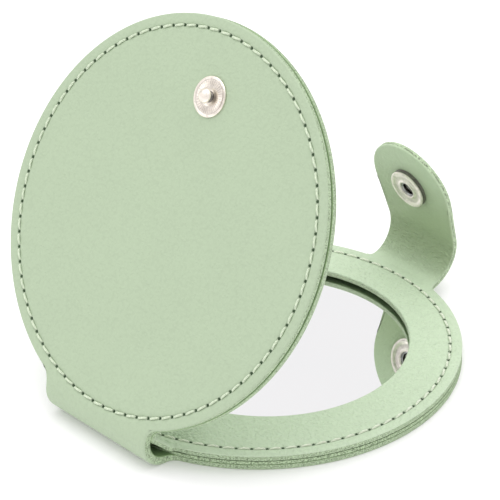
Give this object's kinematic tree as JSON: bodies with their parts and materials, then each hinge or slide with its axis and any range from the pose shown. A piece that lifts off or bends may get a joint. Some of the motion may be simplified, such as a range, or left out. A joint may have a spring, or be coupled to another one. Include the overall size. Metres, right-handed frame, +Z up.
{
  "type": "compact mirror",
  "caption": "Round folding pocket mirror in stitched leather: a mirror framed in the base, a hinged cover that leans over it, and a snap strap that holds it shut.",
  "frame": {"origin": "centre of the base disc, on its underside, where it rests on the table", "axes": "+Z up, fold along X at -Y, strap at +Y; the cover stands open over the base"},
  "size_m": [0.08, 0.0912, 0.0764],
  "materials": {
    "outer_leather": "sage green, fine pebble grain, satin",
    "inner_leather": "sage green, fine pebble grain, satin",
    "board": "fibrous board with a green edge",
    "tape": "double-sided adhesive disc",
    "silvering": "silvered back of the glass",
    "mirror_glass": "clear polished glass with a ground edge",
    "thread": "twisted polyester thread, pale green",
    "nickel": "nickel plate, lightly worn",
    "spring_steel": "bright wire"
  },
  "bodies": {
    "base": {"base_outer_leather": "outer_leather", "base_board": "board", "mirror_tape": "tape", "mirror_silvering": "silvering", "mirror_glass": "mirror_glass", "mirror_frame_leather": "inner_leather", "base_thread": "thread", "fold_outer_leather": "outer_leather", "fold_inner_leather": "inner_leather", "strap_root_facing": "inner_leather", "strap_root_backing": "outer_leather"},
    "cover": {"cover_outer_leather": "outer_leather", "cover_card": "board", "cover_lining": "inner_leather", "cover_thread": "thread", "snap_stud": "nickel", "stud_rivet": "nickel"},
    "strap": {"strap_facing": "inner_leather", "strap_backing": "outer_leather", "snap_socket": "nickel", "socket_spring": "spring_steel", "snap_cap": "nickel"}
  },
  "joints": [
    {"name": "cover_fold", "type": "hinge", "parent": "base", "child": "cover", "pos_m": [0, -0.0427, 0.0033], "axis": [1, 0, 0], "range_deg": [-60.4, 117.5], "deforming": ["fold_outer_leather", "fold_inner_leather"]},
    {"name": "strap_fold", "type": "hinge", "parent": "base", "child": "strap", "pos_m": [0, 0.04234, 0.00412], "axis": [1, 0, 0], "range_deg": [-90, 74], "deforming": ["strap_root_facing", "strap_root_backing"]}
  ]
}
